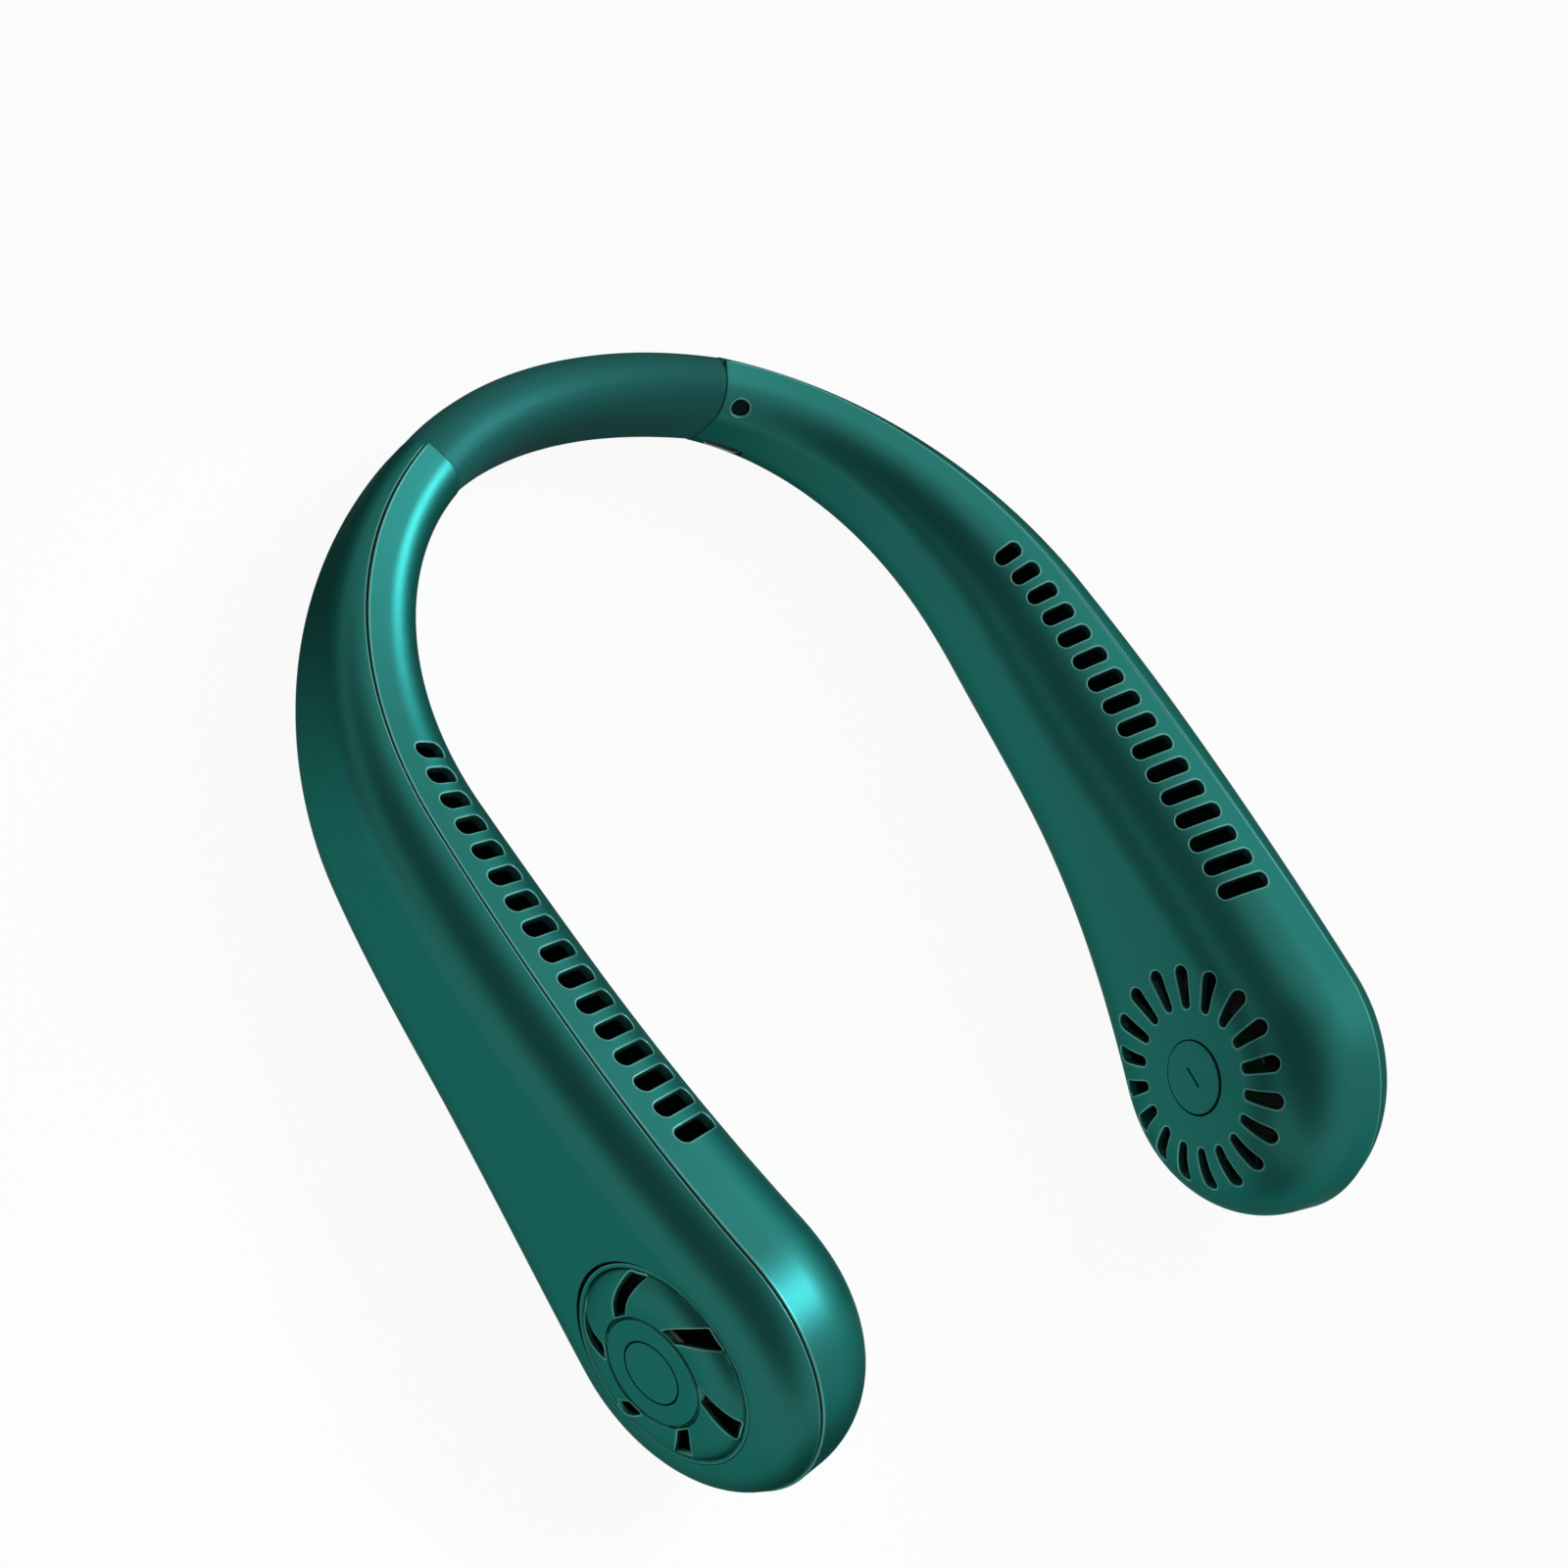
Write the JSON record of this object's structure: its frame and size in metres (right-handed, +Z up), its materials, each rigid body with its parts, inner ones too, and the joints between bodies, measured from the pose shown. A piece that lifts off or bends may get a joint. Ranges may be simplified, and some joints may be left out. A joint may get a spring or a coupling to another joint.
{
  "type": "electric neck fan",
  "caption": "Wearable horseshoe neck fan: two hollow arms with a blower in each round head, slotted air outlets along the top and a soft flexible neck sleeve.",
  "frame": {"origin": "on the plane the fan lies on, under the middle of its overall box", "axes": "X across the neck, the right arm with the button at +X; +Y to the back of the neck; +Z up"},
  "size_m": [0.195, 0.2285, 0.0645],
  "materials": {
    "shell": "satin moulded, dark teal",
    "hub_cap": "satin moulded, dark teal",
    "sleeve": "soft matt silicone, dark teal",
    "white_plastic": "moulded",
    "dark_plastic": "moulded",
    "steel": "plated",
    "spring_steel": "blued strip",
    "rotor_steel": "drawn can",
    "magnet": "bonded magnet",
    "brass": "sintered",
    "stator": "wound core",
    "board": "solder mask",
    "cell_foil": "pouch foil",
    "foam": "open foam",
    "lens": "smoked clear",
    "cable": "cable jacket"
  },
  "bodies": {
    "right_arm": {"right_inner_shell": "shell", "right_outer_cover": "shell", "right_intake_grille": "shell", "right_hub_cap": "hub_cap", "right_motor_base": "white_plastic", "right_motor_screws": "steel", "right_motor_bush": "brass", "right_motor_stator": "stator", "right_battery_cell": "cell_foil", "right_battery_pad": "foam", "right_neck_plug": "dark_plastic", "tact_switch": "dark_plastic", "control_board": "board", "board_screws": "steel", "charge_board": "board", "charge_port": "steel", "indicator_lens": "lens", "neck_sleeve": "sleeve", "neck_spine": "spring_steel", "neck_cable": "cable"},
    "left_arm": {"left_inner_shell": "shell", "left_outer_cover": "shell", "left_intake_grille": "shell", "left_hub_cap": "hub_cap", "left_motor_base": "white_plastic", "left_motor_screws": "steel", "left_motor_bush": "brass", "left_motor_stator": "stator", "left_battery_cell": "cell_foil", "left_battery_pad": "foam", "left_neck_plug": "dark_plastic"},
    "right_fan": {"right_motor_shaft": "steel", "right_motor_rotor": "rotor_steel", "right_rotor_magnet": "magnet", "right_impeller": "dark_plastic"},
    "left_fan": {"left_motor_shaft": "steel", "left_motor_rotor": "rotor_steel", "left_rotor_magnet": "magnet", "left_impeller": "dark_plastic"},
    "button": {"power_button": "shell", "switch_plunger": "dark_plastic"}
  },
  "joints": [
    {"name": "neck_flex", "type": "hinge", "parent": "right_arm", "child": "left_arm", "pos_m": [0, 0.10701, 0.0112], "axis": [0, 0, -1], "range_deg": [-6, 30], "stiffness_Nm_per_rad": 0.5, "deforming": ["neck_sleeve", "neck_spine", "neck_cable"]},
    {"name": "right_fan_spin", "type": "hinge", "parent": "right_arm", "child": "right_fan", "pos_m": [0.07654, -0.08192, 0.03225], "axis": [0.9862, -0.1654, 0], "continuous": true},
    {"name": "left_fan_spin", "type": "hinge", "parent": "left_arm", "child": "left_fan", "pos_m": [-0.07654, -0.08192, 0.03225], "axis": [-0.9862, -0.1654, 0], "continuous": true},
    {"name": "button_press", "type": "slide", "parent": "right_arm", "child": "button", "axis": [0.9862, -0.1654, 0], "range_m": [0, 0.0005], "stiffness_N_per_m": 400}
  ]
}
